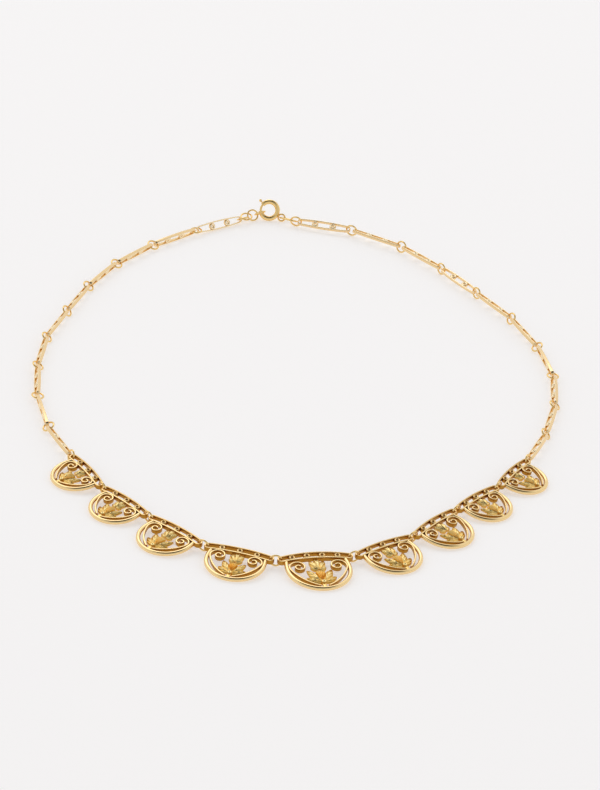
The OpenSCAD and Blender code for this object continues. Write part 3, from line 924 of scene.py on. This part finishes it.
# %% Rules for the polish and the painted shade
EDGE_FROM, EDGE_GAIN = 0.45, 2.2
BAR_BELOW, BAR_POLISH_AND_SHADE = 0.35, 0.6
LEAF_FROM, LEAF_GAIN = 0.45, 2.4
LEAF_LOW, LEAF_RISE = -0.02, 0.32


def edge_polish_and_shade(v):
    """Strip that lies flat: its upper and lower edges are in the mop's reach, and its walls get
    painted shade.
    """
    return min(1.0, max(0.0, EDGE_GAIN * (abs(v.normal.z) - EDGE_FROM)))


def gallery_polish_and_shade(v):
    """The edge of a gallery's upper strip gets part painted shade, so the lower strip's edge is
    brighter.
    """
    return edge_polish_and_shade(v) * (1.0 if v.co.y < BAR_BELOW else BAR_POLISH_AND_SHADE)


def leaf_polish_and_shade(v):
    """High, level places on a leaf were rubbed bright; low places and the sides of the cuts get
    painted shade.
    """
    high = (v.co.z - LEAF_LOW) / LEAF_RISE
    flat = LEAF_GAIN * (v.normal.z - LEAF_FROM)
    return min(1.0, max(0.0, min(high, flat)))


def always(v):
    """Round wire: the mop reaches all of it."""
    return 1.0


def build(shape, *args, place=Matrix.Identity(4), rule=edge_polish_and_shade):
    """Makes a shape, marks on each point its polishing and its painted shade, and moves it to its
    place.
    """
    bm = bmesh.new()
    shape(bm, *args)
    bm.normal_update()
    # each point's polish and painted shade, from the rule
    layer = bm.verts.layers.float.new("polish_and_shade")
    for v in bm.verts:
        v[layer] = rule(v)
    bmesh.ops.transform(bm, matrix=place, verts=bm.verts)
    return bm


sample = build(ladder_link)
marks = sample.verts.layers.float["polish_and_shade"]
print("share of a link's points that are bright:",
      round(sum(v[marks] > 0.5 for v in sample.verts) / len(sample.verts), 2))
sample.free()

# %% [markdown]
# ## Putting the pieces in their places
#
# Each shape is made in its own frame and then moved to its place on the table. The move goes
# into the points themselves, so the object stays at the origin. Faces are shaded smooth, but
# a fold of more than 60 degrees is kept sharp, as at the ends of a tube or the foot of a leaf.
# Beside each piece but the parts of the panels, the script compares its box with that of the
# piece in the drawing, to show that the two agree.

# %% Make a piece
BODY = "necklace"
CREASE = math.radians(60)
misses = []


def add_piece(name, bm, material, node, body=BODY, stands_for=True):
    """Turns a finished shape into an object on its body; if it stands for a piece of the drawing,
    hides that piece and compares their boxes.
    """
    bmesh.ops.scale(bm, vec=(MM, MM, MM), verts=bm.verts)
    mesh = bpy.data.meshes.new(name)
    bm.to_mesh(mesh)
    bm.free()
    mesh.polygons.foreach_set("use_smooth", [True] * len(mesh.polygons))
    mesh.set_sharp_from_angle(angle=CREASE)
    piece = bpy.data.objects.new(name, mesh)
    bpy.context.scene.collection.objects.link(piece)
    mesh.materials.append(material)
    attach(piece, body)
    if stands_for:
        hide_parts(node)
        low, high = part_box(node)
        for axis in range(3):
            values = [v.co[axis] for v in mesh.vertices]
            misses.append(max(abs(min(values) - low[axis]), abs(max(values) - high[axis])))
    return piece


print("a fold is kept sharp past", round(math.degrees(CREASE)), "degrees")

# %% The panels
# each rule sets the polish and the painted shade of a part's points
PANEL_PARTS = (  # name, shape, rule for its polish, finish
    ("gallery", gallery, gallery_polish_and_shade, strip_gold), ("rim", rim, always, rim_gold),
    ("scrolls", scrolls, edge_polish_and_shade, strip_gold), ("spray", spray, leaf_polish_and_shade, leaf_gold))
left, right = JOINT["left"], JOINT["right"]
panel_places = {"panel_middle": (0, between(left[0], right[0], panel_tilt(0)))}
for i in range(1, SIDE_PANELS + 1):
    panel_places[f"panel_left_{i}"] = (i, between(left[i], left[i - 1], panel_tilt(i)))
    panel_places[f"panel_right_{i}"] = (i, between(right[i - 1], right[i], panel_tilt(i)))
for node, (i, place) in panel_places.items():
    for part, shape, rule, finish in PANEL_PARTS:
        made = build(shape, i, place=place, rule=rule)
        piece = add_piece(f"{node}_{part}", made, finish, node, stands_for=False)
        if part == "gallery":
            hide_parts(node)
print("panels:", len(panel_places))

# %% The links
for side in ("left", "right"):
    for i in range(1, len(LINK_LAY[side]) + 1):
        k = SIDE_PANELS + i
        a, b = JOINT[side][k - 1], JOINT[side][k]
        if side == "left":
            a, b = b, a
        link = build(ladder_link, place=between(a, b, -ROLLS[side][k]))
        add_piece(f"link_{side}_{i}_strip", link, link_gold, f"link_{side}_{i}")
print("links end up within", round(max(misses) / MM, 3), "mm of the drawing")

# %% The rings and the clasp


def rings(shape, *args):
    """A group of rings, made in their places and closed."""
    def made(bm):
        shape(bm, *args)
        weld(bm)
    return build(made, rule=always)


add_piece("front_rings_wire", rings(front_rings), wire_gold, "front_rings")
for side in ("left", "right"):
    add_piece(f"{side}_rings_wire", rings(side_rings, side), wire_gold, f"{side}_rings")
add_piece("clasp_rings_wire", rings(clasp_rings), wire_gold, "clasp_rings")
add_piece("bolt_ring_tube", build(bolt_ring, rule=always), wire_gold, "bolt_ring")
add_piece("trigger_tongue", build(trigger, rule=always), wire_gold, "trigger",
          body="trigger")
print("all these pieces end up within", round(max(misses) / MM, 3), "mm of the drawing")

# %% [markdown]
# ## The table
#
# The necklace lies on a pale, even sheet. A sheet that only reflects would take the tint and
# the fall of the light, so a part of its brightness is given as emission.

# %% Table
TABLE_HALF = 4.0
TABLE_COLOUR, TABLE_GLOW = (0.66, 0.66, 0.67, 1), (1.0, 0.97, 0.955, 1)
table_mesh = bpy.data.meshes.new("table_top")
table_bm = bmesh.new()
bmesh.ops.create_grid(table_bm, x_segments=1, y_segments=1, size=TABLE_HALF)
table_bm.to_mesh(table_mesh)
table_bm.free()
table_top = bpy.data.objects.new("table_top", table_mesh)
bpy.context.scene.collection.objects.link(table_top)
table_paint = bpy.data.materials.new("table_paint")
table_paint.use_nodes = True
paint = table_paint.node_tree.nodes["Principled BSDF"]
for socket, value in (("Base Color", TABLE_COLOUR), ("Roughness", 0.7),
                      ("Emission Color", TABLE_GLOW), ("Emission Strength", 0.465),
                      ("Specular IOR Level", 0.2)):
    paint.inputs[socket].default_value = value
table_mesh.materials.append(table_paint)
print("the table is", 2 * TABLE_HALF, "m wide")

# %% [markdown]
# ## The light
#
# Polished gold shows what is round it, so the room matters more than the lamps. Here the room
# is bright all round, a little brighter behind and above, with one soft box overhead. Between
# the boxes of a real light tent there is a gap. This one is nearly straight above, a little
# to the viewer's side, and a round wire that is seen from the front shows it as a dark line
# along its top. The sky could be a picture, but a few sums say the same.

# %% Light
ROOM_STRENGTH, ROOM_LEVEL, ROOM_NORTH, ROOM_UP = 0.86, 0.85, 0.20, 0.18
GAP_WAY = Vector((0.05, -0.22, 0.97)).normalized()
GAP_FROM, GAP_GAIN, GAP_DARK = 0.76, 7.0, 0.93  # where it starts, how fast, and how dark it is
BLACK, WHITE = (0.0, 0.0, 0.0), (1.0, 1.0, 1.0)
BOX_AT, BOX_SIZE, BOX_POWER = Vector((-0.25, 0.75, 1.1)), 0.8, 1.9
room = bpy.data.worlds.new("room")
bpy.context.scene.world = room
room.use_nodes = True
room_tree = room.node_tree
direction = Socket(room_tree, 0.0).node("ShaderNodeTexCoord", output=0)
parts = direction.node("ShaderNodeSeparateXYZ", inputs={0: direction}).value.node.outputs
north, up = Socket(room_tree, parts[1]), Socket(room_tree, parts[2])
toward_gap = direction.node("ShaderNodeVectorMath", {"operation": "DOT_PRODUCT"},
                            {0: direction, 1: GAP_WAY}, output=1)
gap = ((toward_gap - GAP_FROM) * GAP_GAIN).clamped()
level = (ROOM_LEVEL + ROOM_NORTH * north + ROOM_UP * up) * (1 - GAP_DARK * gap)
shade = level.clamped().blend(BLACK, WHITE)
room_tree.links.new(shade.value, room_tree.nodes["Background"].inputs["Color"])
room_tree.nodes["Background"].inputs["Strength"].default_value = ROOM_STRENGTH
lamp = bpy.data.lights.new("overhead_box", "AREA")
lamp.shape, lamp.size, lamp.energy = "SQUARE", BOX_SIZE, BOX_POWER
holder = bpy.data.objects.new("overhead_box", lamp)
holder.location = BOX_AT
holder.rotation_mode = "QUATERNION"
holder.rotation_quaternion = (-BOX_AT).to_track_quat("-Z", "Y")
bpy.context.scene.collection.objects.link(holder)
print("the gap is", round(math.degrees(math.acos(GAP_WAY.z))), "degrees from straight above")

# %% [markdown]
# ## The camera
#
# The lens is a long one, far away, and looks down at 29 degrees, turned a little about its
# own axis. A short lens close by would make the near panels too large beside the clasp. The
# film is as wide as the picture's longer side, so the focal length in pixels turns into
# millimetres with one ratio.

# %% Camera
FOCAL_PX, FRAME_LONG, SENSOR = 4000, 790, 36.0
ELEVATION, ROLL, DISTANCE = math.radians(29.0), math.radians(5.4), 0.876
TARGET = Vector((1.0, -5.13, 1.35)) * MM
lens_body = bpy.data.cameras.new("camera")
lens_body.sensor_width = SENSOR
lens_body.lens = FOCAL_PX / FRAME_LONG * SENSOR
lens_body.clip_start, lens_body.clip_end = 0.05, 20
camera = bpy.data.objects.new("camera", lens_body)
bpy.context.scene.collection.objects.link(camera)
forward = Vector((0, math.cos(ELEVATION), -math.sin(ELEVATION)))
level_up = Vector((0, math.sin(ELEVATION), math.cos(ELEVATION)))
right_way = Vector((math.cos(ROLL), 0, 0)) + math.sin(ROLL) * level_up
up_way = math.cos(ROLL) * level_up - Vector((math.sin(ROLL), 0, 0))
turn = Matrix((right_way, up_way, -forward)).transposed().to_4x4()
camera.matrix_world = Matrix.Translation(TARGET - DISTANCE * forward) @ turn
bpy.context.scene.camera = camera
bpy.context.scene.view_settings.view_transform = "Standard"
print("the lens is", round(lens_body.lens), "mm long and", DISTANCE, "m away")
